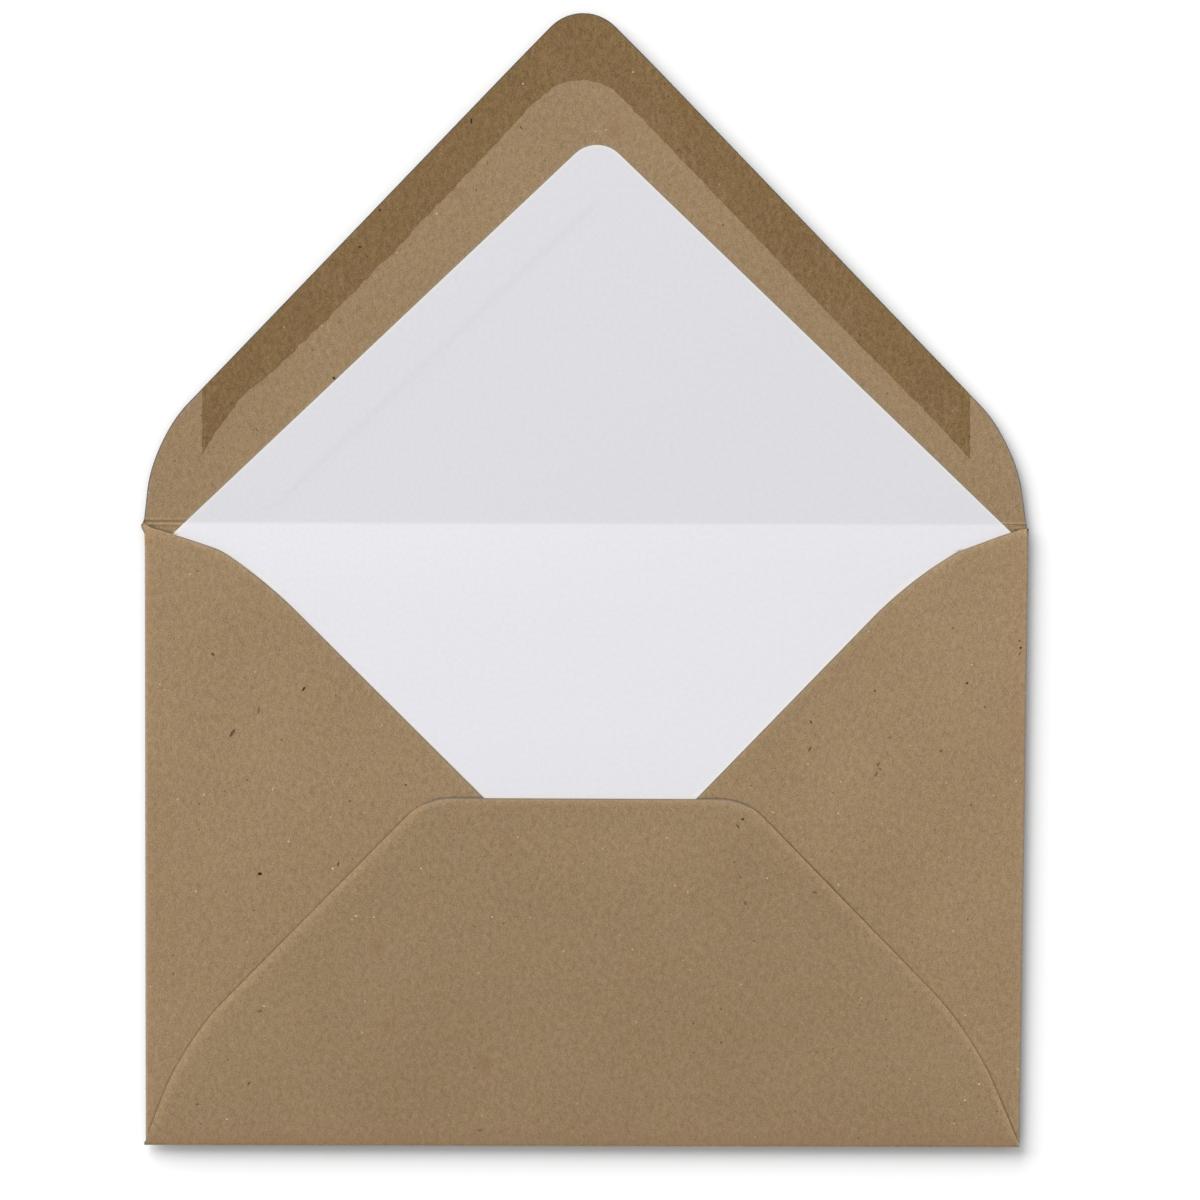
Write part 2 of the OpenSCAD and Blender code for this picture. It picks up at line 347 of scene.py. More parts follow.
ear = {
    "out": 0.72, "over": 0.8,
    # its mouth has a painted highlight and its rim painted shade: x, y, reach, gain of light
    "spots": [(-88.05, 61.45, 0.3, 0.8), (-88.9, 60.9, 0.35, -0.6), (-88.5, 62.4, 0.36, -0.45),
              (-87.45, 61.7, 0.3, -0.45)],
}


def earShift(point):
    x, y, z = point
    out = ear["out"]*hump(y - 61.35, 0.85)*smooth((-86.6 - x)/1.4)
    over = 0.0
    if y < 61.55:
        over = ear["over"]*smooth((y - 60.5)/0.9)*smooth((-86.8 - x)/0.9)*smooth(z/0.8)
    return Vector((-out, over, 0))


def earShade(x, y):
    return sum(gain*hump(hypot(x - spotX, y - spotY), reach) for spotX, spotY, reach, gain in ear["spots"])


# Painted light and shade: tones in levels of 255, and the folds' painted lines of light as gain and width
# in mm
kraftTone = {
    "flap": 157, "body": 160.2, "upward": 0.067, "inward": 3.2, "bottom": 2.5,
    "rightFold": [(2.2, 0.2), (0.35, 0.5)], "bottomFold": [(2.1, 0.27)],
}


def paintedFoldHighlight(x, y):  # painted highlight on the right and the bottom fold, which turn away from the lamp
    right = sum(gain*hump(insideSide(1, x, y), width) for gain, width in kraftTone["rightFold"])
    bottom = sum(gain*hump(y - blank["bottom"], width) for gain, width in kraftTone["bottomFold"])
    return right + bottom


def kraftShade(point, panel):  # painted light and shade against the even kraft of the seal flap: lighter upward, darker to the middle and on the bottom flap
    x, y = point.x, point.y
    k = kraftTone
    if panel == "front":
        return 1.0 + earShade(x, y) + (paintedFoldHighlight(x, y) if y < 61 else 0)
    level = k["body"] + k["upward"]*(y - 51) - k["inward"]*smooth((88 - abs(x))/55)
    if panel == "bottom":
        level -= k["bottom"]
    return (level/k["flap"])**2.2 + paintedFoldHighlight(x, y) + earShade(x, y)


# Painted highlight where a cut edge curls down, as a gain: on the bottom flap, and on the side flaps, more
# at their tops
edgeLight = {"lip": 0.28, "slant": 0.24, "right": 0.14, "left": 0.09, "top": 0.16}


# painted highlight along each panel's cut edge
def kraftEdgeHighlight(point, panel):
    if panel == "front":
        return 0.0
    if panel == "bottom":
        onLip = point.y > blank["lip"] - 0.01 or abs(point.x) < 30
        return edgeLight["lip"] if onLip else edgeLight["slant"]*smooth((point.y + 62)/2)
    return edgeLight[panel] + edgeLight["top"]*smooth((point.y - 50)/5)


def besideWhite(point, panel):  # 1 where the cut edge lies against white, which greys the brown beside it and paints a dark rim of shade on it
    if panel == "bottom":
        return 1.0 if point.y > 5.5 else 0.0
    return 1.0 if panel == "front" or -83 < point.x < 85 else 0.0


def insideFolds(x, y):  # distance inward from the outer line of the side folds, but not at the open loop
    atLoop = x < -86 and y > 59.6
    return farAway if atLoop else min(insideSide(1, x, y), insideSide(-1, x, y))


# The panels that each flap lies over, and a point well inside each flap
coverings = {"bottom": ("right", "left"), "right": ("front",), "left": ("front",)}
flapMiddles = {"bottom": Vector((0, -30)), "right": Vector((60, 10)), "left": Vector((-60, 10))}


def besideFlaps(bm, panels):  # distance of each point from the edge of the flap that lies over its panel, for the painted shadow beside that edge
    layer = bm.verts.layers.float["seam"]
    for v in bm.verts:
        v[layer] = farAway
    for flap, under in coverings.items():
        points, normals = [], []
        for e in bm.edges:
            if e.is_boundary and all(panels[v] == flap for v in e.verts):
                a, b = (v.co.xy for v in e.verts)
                normal = Vector((b.y - a.y, a.x - b.x)).normalized()
                normal *= 1 if normal.dot(a - flapMiddles[flap]) > 0 else -1
                along = [Vector((point.x, point.y, 0)) for point in alongEdge(e)]
                points += along
                normals += [normal]*len(along)
        tree = nearestOf(points)
        for v in bm.verts:
            x, y = v.co.xy
            sameSide = x*flapMiddles[flap].x >= 0
            if panels[v] in under and sameSide and (flap == "bottom" or y > 55):
                near, index = tree.find((x, y, 0))[:2]
                v[layer] = (v.co.xy - near.xy).dot(normals[index])


foldRub = {"right": (0.35, 1.1), "left": (0.8, 0.9), "bottom": (0.9, 0.4)}  # amount, and mm inside the fold


def foldWear(point, panel):  # 1 where a fold has stretched and reddened the fibres
    if panel == "front":
        return 0.0
    gaps = {"bottom": point.y - blank["bottom"]}
    if panel != "bottom":
        gaps[panel] = insideSide(1 if panel == "right" else -1, point.x, point.y)
    return max(foldRub[fold][0]*hump(gap - foldRub[fold][1], 0.6) for fold, gap in gaps.items())


def scoreFolds(bm):  # the folds' lines, and closer ones at the open loop, the liner's tip and the crease
    across, upward = Vector((1, 0, 0)), Vector((0, 1, 0))

    def nearTip(c):
        return abs(c.x - 2) < 8 and 131 < c.y < 143

    for y in (60.1, 60.5, 60.8, 61.1, 61.35):
        scoreLine(bm, upward*y, upward, lambda c: -93 < c.x < -84 and 56 < c.y < 64)
    for k in range(8):
        scoreLine(bm, upward*(133.6 + k), upward, nearTip)
        scoreLine(bm, across*(k*1.5 - 3.2), across, nearTip)
    for fold in folds.values():
        for k in range(blank["foldSteps"] + 1):
            point = fold["start"] + fold["outward"]*(foldLength(fold)*k/blank["foldSteps"])
            scoreLine(bm, point, fold["outward"], lambda c: -4 < beyond(fold, c) < 6 and c.y < 64)
    for k in range(-8, 9):
        scoreLine(bm, upward*(crease["groove"]["at"] + k*0.14), upward, lambda c: abs(c.y - 62.5) < 4)


def scoreSlants(bm):  # closer score lines along the pasted slants, where the sheet is pressed
    for side in (1, -1):
        lip, hip, foot = (Vector(unfolded(folds["bottom"], *corner[:2]))
                          for corner in blank["bottomFlap"][side])
        slant, toe = inwardNormal(hip, lip), inwardNormal(foot, hip)
        for gap in (0.4, 0.9, 1.5, 2.2, 3.2):
            scoreLine(bm, hip + slant*gap, slant, lambda c: c.y < -62.5 and c.x*side > 20)
            scoreLine(bm, foot + toe*gap, toe, lambda c: c.y < -62.5 and c.x*side > 70)


def panelOf(point):  # the flap that a point of the flat blank belongs to
    for name, fold in folds.items():
        if inFlap(fold, point) and beyond(fold, point) > foldLength(fold) - 1e-3:
            return name
    return "front"


def panelLift(point, panel, fromEdge):
    x, y, z = point
    if panel == "bottom":
        return bottomFlapLift(x, y, fromEdge)
    if panel in ("right", "left"):
        return sideFlapLift(1 if panel == "right" else -1, x, y)
    return sealFlapLift(x, y) + creaseRelief(x, y) if y > blank["crease"] - 2 else 0.0


def buildBlank():
    bm = flatSheet(blankOutline())
    scoreGrid(bm, blank["grid"], (-160, -135), (160, 170))
    scoreFolds(bm)
    scoreSlants(bm)
    markSheet(bm)
    panels = {v: panelOf(v.co) for v in bm.verts}
    for fold in folds.values():
        foldFlap(bm, fold)
    fromEdge = bm.verts.layers.float["edge"]
    for v, panel in panels.items():
        v.co.z += panelLift(v.co, panel, v[fromEdge])
        v.co += earShift(v.co)
    bmesh.ops.translate(bm, vec=(0, 0, blank["thickness"]), verts=bm.verts)
    paint(bm, {
        "shade": lambda v: kraftShade(v.co, panels[v]), "wear": lambda v: foldWear(v.co, panels[v]),
        "line": lambda v: kraftEdgeHighlight(v.co, panels[v]), "fade": lambda v: besideWhite(v.co, panels[v]),
        "white": lambda v: (outsideLiner if v.co.y > 61.6 else insideFolds)(v.co.x, v.co.y)})
    besideFlaps(bm, panels)
    return finishSheet(bm, "kraftBlank", blank["thickness"])


# Liner: loose in the pocket, pasted to the seal flap

liner = {
    "thickness": 0.09, "height": 0.30, "left": -83.4, "right": 86.9,
    "foot": -50.5, "shoulder": 59.3, "tip": (2.25, 140.6), "tipReach": 6.0,
    "dome": 0.16, "ripple": 0.02, "stripWidth": 10.0, "stripHeight": 0.04, "grid": 3.0,
}


def stripGap(x, y):  # distance of a point inside the liner from its slanted edges
    right, left = ((liner[end], liner["shoulder"]) for end in ("right", "left"))
    return min(lineGap(right, liner["tip"], x, y), lineGap(liner["tip"], left, x, y))


def throatInset(x, y):  # distance of a point on the liner from the kraft edges that frame the throat
    return min(intoThroat(1, x, y), intoThroat(-1, x, y), y - blank["lip"] + 0.05)


def topInset(x, y):  # the same for the top edges alone, where a gap opens under the kraft up to the corner and painted shadow falls on the liner
    if x > 0:
        return abs(lineGap(*throat[1][2:], x, y)) + 0.15*max(0, 73.5 - x)
    return abs(lineGap(*throat[-1][:2], x, y)) + 0.4*max(0, 72.5 + x)


def outsideLiner(x, y):  # distance of a point on the seal flap from the liner's slants and rounded tip
    tipX, tipY = liner["tip"]
    slant = atan2(liner["right"] - tipX, tipY - liner["shoulder"])
    radius = liner["tipReach"]*tan(slant)
    dx, dy = x - tipX, y - tipY + liner["tipReach"]/cos(slant)
    pastTip = dy > 0 and abs(dx) < dy/tan(slant)
    return hypot(dx, dy) - radius if pastTip else -stripGap(x, y)


def linerLift(x, y):
    rise = y - crease["centre"]
    if rise > 0:
        pastStrip = stripGap(x, y) - liner["stripWidth"]
        strip = liner["stripHeight"]*(1 - smooth((pastStrip + 0.8)/1.6))
        return sealFlapLift(x, y) + strip*smooth(rise/6)
    across = smooth((86 - abs(x))/50)
    along = smooth(-rise/30)*smooth((y + 50)/30)
    ripple = liner["ripple"]*noise.noise(Vector((x/60, y/9, 4.4)))*smooth(-rise/8)
    return across*(along*liner["dome"] + ripple)


# Painted light and shade in levels of 255: the part just under the crease and the flap part, and what the
# body loses further away
linerTone = {
    "even": 230, "body": 233.4, "flap": 222.0, "down": 4.3, "foot": 1.5, "right": 1.0, "corner": 2.5,
}


def linerShade(x, y):  # painted light and shade: the body is lightest just under the crease, the flap part is painted as in a duller light
    t = linerTone
    rightward = smooth((x + 60)/120)
    if y >= crease["centre"]:
        level = t["flap"] - t["right"]*rightward
    else:
        down = t["down"]*smooth((blank["crease"] - y)/21) + t["foot"]*smooth((22 - y)/14)
        level = t["body"] - down - (t["right"] + t["corner"]*smooth((y - 40)/15))*rightward
    return (level/t["even"])**2.2


def stripLine(x, y):  # where the edge of the paste strip under the liner shows through
    if y < blank["crease"] + 4:
        return 0.0
    return hump(stripGap(x, y) - liner["stripWidth"], 0.35)


def buildLiner():
    outline = [
        (liner["left"], liner["foot"], 0), (liner["right"] - 0.3, liner["foot"], 0),
        (liner["right"], liner["shoulder"], 0), (*liner["tip"], liner["tipReach"]),
        (liner["left"], liner["shoulder"], 0),
    ]
    bm = flatSheet(outline)
    for dy in (-0.25, 0.3):
        scoreLine(bm, Vector((0, crease["centre"] + dy, 0)), Vector((0, 1, 0)))
    for end in ("left", "right"):
        low, high = Vector((liner[end], liner["shoulder"], 0)), Vector((*liner["tip"], 0))
        across = inwardNormal(low, high)
        for gap in (9.2, 9.7, 10.2, 10.8):
            scoreLine(bm, low + across*gap, across, lambda c: c.y > 60 and c.x*low.x > -1700)
    scoreGrid(bm, liner["grid"], (-90, -54), (90, 145))
    markSheet(bm)
    bmesh.ops.translate(bm, vec=(0, 0, liner["height"]), verts=bm.verts)
    for v in bm.verts:
        v.co.z += linerLift(v.co.x, v.co.y)
    paint(bm, {
        "shade": lambda v: linerShade(v.co.x, v.co.y), "wear": lambda v: stripLine(v.co.x, v.co.y),
        "fade": lambda v: 1.0, "white": lambda v: throatInset(v.co.x, v.co.y),
        "seam": lambda v: topInset(v.co.x, v.co.y)})
    return finishSheet(bm, "linerSheet", liner["thickness"])


# Gum band: a rolled-on film round the slants and the tip of the seal flap, with a ragged inner edge

gum = {
    "thickness": 0.04, "ragged": 0.4, "step": 0.45, "grid": 1.0,
    "outer": [(77.1, 88.4, 0), *blank["sealTip"], (-76.8, 89.2, 0)],
    "inner": [
        (-76.8, 76.0), (-73.8, 81.3), (-70.7, 85.0), (-69.5, 87.2), (-67.7, 88.8), (-63.8, 91.7),
        (-58.5, 96.8), (-50.0, 105.2), (-41.5, 113.7), (-9.0, 148.2), (-6.2, 150.2), (-3.2, 151.1),
        (-0.2, 151.3), (2.8, 150.7), (5.3, 149.4), (8.8, 146.0), (23.8, 130.5), (51.6, 101.6),
        (68.6, 84.6), (77.1, 75.5),
    ],
}


def layFilm(bm, film):  # a film lies on the seal flap and follows it
    bmesh.ops.translate(bm, vec=(0, 0, blank["thickness"] + film["thickness"]), verts=bm.verts)
    for v in bm.verts:
        v.co.z += sealFlapLift(v.co.x, v.co.y)


def raggedEdge(points):  # the roller left the inner edge uneven, more so on the left and round the tip
    ragged = [(*points[0], 0)]
    for a, b in zip(points, points[1:]):
        count = int(hypot(b[0] - a[0], b[1] - a[1])/gum["step"]) + 1
        for k in range(1, count + 1):
            x, y = (a[i] + (b[i] - a[i])*k/count for i in (0, 1))
            rough = gum["ragged"]*(1.0 if x < -7 else 0.3)*smooth((gum["inner"][-1][0] - abs(x))/3)
            fine, coarse = Vector((x/0.7, y/0.7, 1.7)), Vector((x/2.2, y/2.2, 6.3))
            wobble = 0.5*noise.noise(fine) + 1.5*noise.noise(coarse)
            ragged.append((x, y - rough*wobble, 0))
    return ragged


def besideTable(x, y):  # true near the slants and the tip, false at the band's two ends and its inner edge
    a, b = gum["inner"][8:10]  # the long straight run of the inner edge on the left
    return abs(x) < 75.3 and lineGap(a, b, -abs(x + 0.6), y) > 4


def buildGum():
    g = gum
    bm = flatSheet(g["outer"] + raggedEdge(g["inner"]))
    scoreGrid(bm, g["grid"], (-90, 60), (90, 170))
    markSheet(bm)
    layFilm(bm, g)
    paint(bm, {"fade": lambda v: 1.0 if besideTable(v.co.x, v.co.y) else 0.0})
    return finishSheet(bm, "gumBand", g["thickness"])


# Paste strip between the liner and the seal flap, along the liner's slants

paste = {
    "thickness": 0.04, "slant": radians(46.2), "shift": 2.15, "margin": 1.0, "width": 10.0, "low": 66.5,
}


def buildPaste():
    p = paste
    outerTip = liner["tip"][1] - p["margin"]/sin(p["slant"])
    innerTip = outerTip - p["width"]/sin(p["slant"])
    across = tan(p["slant"])
    outline = [(p["shift"], outerTip, 8), (p["shift"], innerTip, 0)]
    for side in (-1, 1):
        ends = [(p["shift"] + side*(tip - p["low"])*across, p["low"], 0) for tip in (outerTip, innerTip)]
        outline = outline[:1] + ends + outline[1:] if side < 0 else outline + ends[::-1]
    bm = flatSheet(outline)
    scoreGrid(bm, 2.0, (-90, 60), (90, 145))
    markSheet(bm)
    layFilm(bm, p)
    return finishSheet(bm, "pasteStrip", p["thickness"])


# Wood slivers and pale flecks of the recycled pulp that stand out one by one

slivers = {  # each is (x, y, length, width, turn in degrees), in mm
    "dark": [
        (-56.3, 29, 1, 0.38, 60), (76.7, 30.5, 0.5, 0.44, 0), (-65, -8.1, 0.9, 0.64, 0),
        (-23, 142.9, 1.2, 0.36, 92), (87.4, 37.6, 0.5, 0.4, 0), (-50.4, 91.3, 0.8, 0.4, -45),
        (-45.3, 117.6, 0.6, 0.4, -15), (-41.3, 125, 0.5, 0.44, 60), (31.8, 3.1, 0.6, 0.4, 15),
    ],
    "brown": [
        (-70.6, 20.1, 1.9, 0.6, 57), (-74.5, 35.9, 0.8, 0.52, -40), (45.4, 22.6, 0.8, 0.46, -75),
        (45.2, 17.2, 1.2, 0.36, 62), (30.8, 1.7, 1, 0.4, -50), (58.2, 28.9, 0.5, 0.48, 0),
        (-49.3, -6.1, 1, 0.4, 72), (-67.1, -50.1, 0.8, 0.4, 50), (73.8, 41.5, 0.4, 0.4, 0),
        (80.3, 25.7, 0.4, 0.4, 0), (87.2, 36.4, 0.7, 0.28, 60), (18.5, 137.2, 0.5, 0.42, 0),
        (-11.4, 147.2, 0.6, 0.32, 90), (-13, 141.6, 0.8, 0.3, -50), (-35.8, 9.8, 0.5, 0.4, 0),
        (-47, 6.5, 0.5, 0.36, 0), (15.8, 150.5, 0.5, 0.4, 0), (-77.4, -54.3, 0.5, 0.4, 0),
    ],
    "faint": [
        (-65.3, 24.7, 1.6, 0.4, 85), (-67.6, 10.7, 0.8, 0.32, -30), (58.9, 14.2, 1, 0.52, 50),
        (58.5, 12.2, 1.2, 0.52, 75), (59.3, 13.2, 0.8, 0.4, -40), (87.1, 39, 0.6, 0.48, -30),
        (32.3, -13.7, 1, 0.6, -60), (46.2, -11.5, 0.9, 0.6, 10), (30.1, -5.5, 0.6, 0.4, 0),
        (31.3, -8.5, 0.6, 0.4, 0), (34.1, -21.3, 0.6, 0.4, 0), (-26.1, -1.2, 0.6, 0.26, 0),
        (-14.7, -4.2, 0.7, 0.3, 70), (-64.9, -35.6, 1, 0.6, 0), (-20.7, -59.4, 1.1, 0.52, 0),
        (82.9, -55.3, 0.5, 0.36, 0), (74.3, -57.1, 0.6, 0.28, 0), (27.1, 131.6, 0.6, 0.32, 10),
        (-19.8, 134.5, 0.6, 0.28, 90), (-22, 129.1, 0.4, 0.44, 0), (-8.2, 135, 0.5, 0.26, 90),
        (-65.8, 80.9, 0.8, 0.3, -50), (71.5, 16.9, 0.7, 0.68, 0),
    ],
    "pale": [
        (44.8, 14.2, 0.4, 0.32, 0), (37.8, 4.5, 0.4, 0.28, 0), (36.7, -8.7, 0.4, 0.32, 0),
        (20.8, -11.5, 0.4, 0.32, 0), (16.6, -0.7, 0.4, 0.3, 0), (-50.8, 3.3, 0.4, 0.3, 0),
        (-32.7, -6.9, 0.4, 0.32, 0), (-45.7, -16.5, 0.5, 0.4, 0), (-42.1, -16.7, 0.4, 0.3, 0),
        (-18.4, -16.6, 0.4, 0.32, 0), (-13.3, -0.6, 0.4, 0.3, 0), (-81.5, 6.8, 0.4, 0.32, 0),
        (-12.7, 150.4, 0.4, 0.32, 0), (9.4, 152.8, 0.4, 0.32, 0), (4, 141.2, 0.4, 0.32, 0),
        (-71.5, -57.3, 0.4, 0.36, 0), (79.3, -49.9, 0.5, 0.4, 0), (76.5, -53.1, 0.4, 0.36, 0),
        (-62.4, 8.9, 0.8, 0.24, 60), (-50.4, -7, 0.5, 0.48, 0), (-64.1, -34.6, 0.4, 0.48, 90),
    ],
}
sliverThickness = 0.02


def skinBelow(sheets):  # finds the top of the sheets under a point, in mm
    joined = bmesh.new()
    for sheet in sheets:
        joined.from_mesh(sheet.data)
    tree = BVHTree.FromBMesh(joined)
    joined.free()

    def height(x, y):
        hit = tree.ray_cast(Vector((x, y, 20))*mm, -up)[0]
        return hit.z/mm
    return height


def buildSlivers(kind, heightAt):
    bm = bmesh.new()
    for x, y, length, width, turn in slivers[kind]:
        chip = bmesh.ops.create_circle(bm, cap_ends=True, segments=10, radius=0.5)["verts"]
        bmesh.ops.scale(bm, vec=(length, width, 1), verts=chip)
        bmesh.ops.rotate(bm, cent=(0, 0, 0), matrix=Matrix.Rotation(radians(turn), 3, "Z"), verts=chip)
        bmesh.ops.translate(bm, vec=(x, y, 0), verts=chip)
        for v in chip:
            v.co.z = heightAt(v.co.x, v.co.y) + sliverThickness/2
    return finishSheet(bm, kind + "Slivers", sliverThickness)


# Materials

def colour(code):  # sRGB hex to the linear values that nodes take
    parts = [int(code[i:i + 2], 16)/255 for i in (0, 2, 4)]
    return [p/12.92 if p <= 0.04045 else ((p + 0.055)/1.055)**2.4 for p in parts] + [1]


def addNode(tree, kind, settings, links={}):  # sockets by name or number, other settings by name
    node = tree.nodes.new("ShaderNode" + kind)
    for key, value in settings.items():
        if isinstance(key, int) or key in node.inputs:
            node.inputs[key].default_value = value
        else:
            setattr(node, key, value)
    for key, source in links.items():
        tree.links.new(source, node.inputs[key])
    return node


def newMaterial(name, settings):
    material = bpy.data.materials.new(name)
    material.use_nodes = True
    tree = material.node_tree
    shader = tree.nodes["Principled BSDF"]
    for key, value in settings.items():
        shader.inputs[key].default_value = value
    return material, tree, shader


# How far in mm a cut edge is greyed, given a painted highlight and a painted dark rim of shade, and how far
# painted shadow falls beside a flap laid on the sheet
edgeReach = {"grey": 0.65, "lit": 1.6, "rim": 0.32, "seam": 0.5}


def nearEdge(tree, name, reach, most=1.0):  # most at the edge that the distance is measured from
    distance = addNode(tree, "Attribute", {"attribute_name": name}).outputs["Fac"]
    side = addNode(tree, "Math", {"operation": "ABSOLUTE"}, {0: distance})
    return addNode(tree, "MapRange", {"From Max": edgeReach[reach], "To Min": most, "To Max": 0},
                   {"Value": side.outputs[0]}).outputs[0]


def toned(tree, tint, cut):  # the sheet's painted light and shade, its painted lit and shaded edges and its colour beside white
    shade, line, fade = (addNode(tree, "Attribute", {"attribute_name": name}).outputs["Fac"]
                         for name in ("shade", "line", "fade"))
    greyed = addNode(tree, "Math", {"operation": "MULTIPLY"}, {0: nearEdge(tree, "edge", "grey"), 1: fade})
    other = addNode(tree, "Math", {"operation": "MAXIMUM"},
                    {0: greyed.outputs[0], 1: nearEdge(tree, "white", "grey")})
    weight = addNode(tree, "Math", {"operation": "MULTIPLY", 1: cut["grey"]}, {0: other.outputs[0]})
    mixed = addNode(tree, "Mix", {"data_type": "RGBA", 7: colour(cut["beside"])},
                    {0: weight.outputs[0], 6: tint})
    # painted highlight along the cut edge
    lit = addNode(tree, "Math", {"operation": "MULTIPLY_ADD", 2: 1.0},
                  {0: nearEdge(tree, "edge", "lit"), 1: line})
    # painted dark rim of shade along edges that lie on white, and painted shadow beside a flap laid on the
    # sheet
    thin = addNode(tree, "Math", {"operation": "MULTIPLY"},
                   {0: nearEdge(tree, "edge", "rim", cut["rim"]), 1: fade})
    dark = addNode(tree, "Math", {"operation": "ADD"},
                   {0: nearEdge(tree, "seam", "seam", cut["seam"]), 1: thin.outputs[0]})
    gain = addNode(tree, "Math", {"operation": "SUBTRACT"}, {0: lit.outputs[0], 1: dark.outputs[0]})
    level = addNode(tree, "Math", {"operation": "MULTIPLY"}, {0: gain.outputs[0], 1: shade})
    scaled = addNode(tree, "VectorMath", {"operation": "SCALE"},
                     {0: mixed.outputs[2], "Scale": level.outputs[0]})
    return scaled.outputs[0]


def perMm(size):  # a pattern's scale from its real size in mm
    return 1/(size*mm)


kraft = {
    "pale": "A28A6B", "dark": "80684A", "olive": "FFFFF9", "rose": "FFFEFF", "rubbed": "9E7859",
    "fibre": 1.2, "grain": 0.26, "mottle": 6.0, "cloud": 24.0,
    "grainWeight": 1.25, "cloudWeight": 0.2, "contrast": {"bare": 0.42, "gummed": 0.22},
    # what the brown greys to beside white and how much, and the strength of the painted dark rim and of the
    # painted shadow beside a flap
    "cut": {"beside": "888682", "grey": 0.5, "rim": 0.55, "seam": 0.42},
    # size of a cell in mm, share of cells that hold a spot, its radius and softness in mm, colour, strength
    "spots": [
        (5.5, 0.30, 0.16, 0.10, "54422C", 0.75),
        (3.2, 0.30, 0.10, 0.08, "54422C", 0.55),
        (5.0, 0.25, 0.14, 0.12, "C8B592", 0.7),
        (14.0, 0.25, 1.1, 1.2, "8A6A48", 0.35),
    ],
}


def fibreNoise(tree, flat):  # two layers of fibres that cross, and a fine grain
    k = kraft
    layers = []
    for turn, stretch, size, detail in (
            (0.9, 1.5, k["fibre"], 4), (-0.5, 1.4, k["fibre"]*0.7, 3), (0.2, 1.0, k["grain"], 1)):
        laid = addNode(tree, "Mapping", {"Rotation": (0, 0, turn), "Scale": (1, 1/stretch, 1)},
                       {"Vector": flat})
        layers.append(addNode(tree, "TexNoise", {
            "noise_dimensions": "2D", "Scale": perMm(size), "Detail": detail, "Roughness": 0.9},
            {"Vector": laid.outputs[0]}).outputs[0])
    pair = addNode(tree, "Math", {"operation": "ADD"}, {0: layers[0], 1: layers[1]})
    both = addNode(tree, "Math", {"operation": "MULTIPLY_ADD", 1: k["grainWeight"]},
                   {0: layers[2], 2: pair.outputs[0]})
    return both.outputs[0]


def addSpots(tree, flat, made):  # dark specks, pale flecks and broad stains, in cells of their own size
    for number, (cell, share, radius, soft, code, strength) in enumerate(kraft["spots"]):
        shifted = addNode(tree, "Mapping", {"Location": (0.37*number, 0.21*number, 0),
                                            "Rotation": (0, 0, 0.4*number)}, {"Vector": flat})
        cells = addNode(tree, "TexVoronoi", {"voronoi_dimensions": "2D", "Scale": perMm(cell)},
                        {"Vector": shifted.outputs[0]})
        parts = addNode(tree, "SeparateColor", {}, {0: cells.outputs["Color"]})
        size = addNode(tree, "MapRange", {
            "From Min": 0, "From Max": share, "To Min": (radius + soft)/cell, "To Max": 0},
            {"Value": parts.outputs[0]})
        spot = addNode(tree, "Math", {"operation": "SUBTRACT"},
                       {0: size.outputs[0], 1: cells.outputs["Distance"]})
        mask = addNode(tree, "MapRange", {
            "From Min": 0, "From Max": soft/cell, "To Min": 0, "To Max": strength},
            {"Value": spot.outputs[0]})
        made = addNode(tree, "Mix", {"data_type": "RGBA", 7: colour(code)},
                       {0: mask.outputs[0], 6: made}).outputs[2]
    return made


def kraftColour(tree, flat, contrast):  # unbleached recycled fibre, mottled brown, with its painted light and shade; also gives its relief
    k = kraft
    fibres = fibreNoise(tree, flat)
    cloud = addNode(tree, "TexNoise", {
        "noise_dimensions": "2D", "Scale": perMm(k["cloud"]), "Detail": 2, "Roughness": 0.5},
        {"Vector": flat})
    sums = addNode(tree, "Math", {"operation": "MULTIPLY_ADD", 1: k["cloudWeight"]},
                   {0: cloud.outputs[0], 2: fibres})
    middle = 0.5*(2 + k["grainWeight"] + k["cloudWeight"])
    tone = addNode(tree, "MapRange", {"From Min": middle - contrast, "From Max": middle + contrast},
                   {"Value": sums.outputs[0]})
    base = addNode(tree, "Mix", {"data_type": "RGBA", 6: colour(k["dark"]), 7: colour(k["pale"])},
                   {0: tone.outputs[0]})
    mottle = addNode(tree, "TexNoise", {
        "noise_dimensions": "2D", "Scale": perMm(k["mottle"]), "Detail": 3, "Roughness": 0.6},
        {"Vector": flat})
    warmth = addNode(tree, "MapRange", {"From Min": 0.36, "From Max": 0.64}, {"Value": mottle.outputs[0]})
    hue = addNode(tree, "Mix", {"data_type": "RGBA", 6: colour(k["rose"]), 7: colour(k["olive"])},
                  {0: warmth.outputs[0]})
    made = addNode(tree, "Mix", {"data_type": "RGBA", "blend_type": "MULTIPLY", 0: 1.0},
                   {6: base.outputs[2], 7: hue.outputs[2]})
    wear = addNode(tree, "Attribute", {"attribute_name": "wear"}).outputs["Fac"]
    most = addNode(tree, "Math", {"operation": "MULTIPLY", 1: 0.45}, {0: wear})
    rubbed = addNode(tree, "Mix", {"data_type": "RGBA", 7: colour(k["rubbed"])},
                     {0: most.outputs[0], 6: addSpots(tree, flat, made.outputs[2])})
    return toned(tree, rubbed.outputs[2], k["cut"]), fibres


def kraftPaper():
    # Machine-glazed recycled kraft, uncoated: dull, with fibres that catch a little light
    material, tree, shader = newMaterial("recycledKraft", {"Roughness": 0.85, "Specular IOR Level": 0.3})
    flat = addNode(tree, "UVMap", {"uv_map": "sheet"}).outputs[0]
    tint, height = kraftColour(tree, flat, kraft["contrast"]["bare"])
    bump = addNode(tree, "Bump", {"Strength": 0.35, "Distance": 0.02*mm}, {"Height": height})
    tree.links.new(tint, shader.inputs["Base Color"])
    tree.links.new(bump.outputs[0], shader.inputs["Normal"])
    return material


